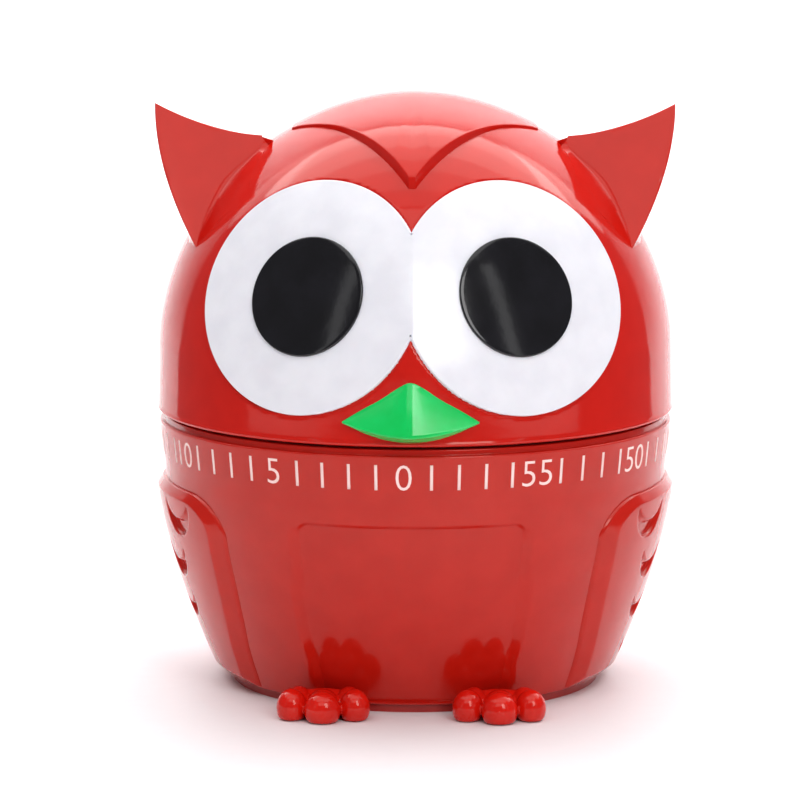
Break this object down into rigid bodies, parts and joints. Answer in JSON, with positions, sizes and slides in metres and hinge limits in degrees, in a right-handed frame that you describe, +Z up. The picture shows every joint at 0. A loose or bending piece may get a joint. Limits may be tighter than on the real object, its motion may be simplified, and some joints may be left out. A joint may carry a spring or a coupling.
{
  "type": "kitchen timer",
  "caption": "Wind-up kitchen timer shaped like an owl: the head turns on the tapering body to set the time, and clockwork inside returns it to zero and rings a bell.",
  "frame": {"origin": "middle of the flat underside, on the axis that the head turns about", "axes": "+Z up along that axis, the face looks along -Y, +X to the viewer's right"},
  "size_m": [0.0642, 0.0664, 0.0733],
  "materials": {
    "red_plastic": "glossy moulded red plastic",
    "white_plastic": "glossy white plastic",
    "black_plastic": "glossy black plastic",
    "green_plastic": "satin green plastic",
    "brass": "rolled and stamped brass",
    "steel": "bright steel",
    "dark_steel": "blackened steel"
  },
  "bodies": {
    "base": {"body_shell": "red_plastic", "wing_left": "red_plastic", "wing_right": "red_plastic", "foot_left": "red_plastic", "foot_right": "red_plastic", "base_cover": "red_plastic", "base_screws": "dark_steel", "deck_ring": "red_plastic", "deck_screws": "dark_steel", "bottom_plate": "brass", "top_plate": "brass", "plate_pillars": "steel", "plate_nuts": "dark_steel", "mainspring": "dark_steel", "bell": "steel", "bell_post": "brass", "bell_screw": "dark_steel", "stop_post": "steel", "lever_pivot": "steel"},
    "head": {"head_shell": "red_plastic", "ear_left": "red_plastic", "ear_right": "red_plastic", "eye_plate": "white_plastic", "pupil_left": "black_plastic", "pupil_right": "black_plastic", "beak": "green_plastic", "drive_hub": "brass", "main_arbor": "steel", "main_wheel": "brass", "ratchet_wheel": "steel", "click": "steel", "cam_disc": "steel", "stop_arm": "steel"},
    "second_set": {"second_wheel": "brass", "striker_star": "steel"},
    "third_set": {"third_wheel": "brass"},
    "escape_set": {"escape_wheel": "brass"},
    "pallet_set": {"pallet_anchor": "steel", "inertia_bar": "brass"},
    "hammer_set": {"hammer": "steel"},
    "lever_set": {"release_lever": "steel"}
  },
  "joints": [
    {"name": "head_turn", "type": "hinge", "parent": "base", "child": "head", "pos_m": [0, 0, 0.033], "axis": [0, 0, 1], "range_deg": [-348, 0]},
    {"name": "second_spin", "type": "hinge", "parent": "base", "child": "second_set", "pos_m": [0, 0.0144, 0.012], "axis": [0, 0, 1], "continuous": true},
    {"name": "third_spin", "type": "hinge", "parent": "base", "child": "third_set", "pos_m": [0.00807, 0.0102, 0.012], "axis": [0, 0, 1], "continuous": true},
    {"name": "escape_spin", "type": "hinge", "parent": "base", "child": "escape_set", "pos_m": [0.01593, 0.00724, 0.012], "axis": [0, 0, 1], "continuous": true},
    {"name": "pallet_rock", "type": "hinge", "parent": "base", "child": "pallet_set", "pos_m": [0.01772, 0.00058, 0.012], "axis": [0, 0, 1], "range_deg": [-1.5, 1.5]},
    {"name": "hammer_swing", "type": "hinge", "parent": "base", "child": "hammer_set", "pos_m": [-0.0095, 0.017, 0.012], "axis": [0, 0, 1], "range_deg": [-8, 3.4], "stiffness_Nm_per_rad": 0.002},
    {"name": "lever_swing", "type": "hinge", "parent": "base", "child": "lever_set", "pos_m": [-0.0128, 0.00148, 0.012], "axis": [0, 0, 1], "range_deg": [-11, 0], "stiffness_Nm_per_rad": 0.002}
  ],
  "couplings": [
    {"joint": "second_spin", "follows": "head_turn", "ratio": -5},
    {"joint": "third_spin", "follows": "head_turn", "ratio": 16.667},
    {"joint": "escape_spin", "follows": "head_turn", "ratio": -50}
  ]
}
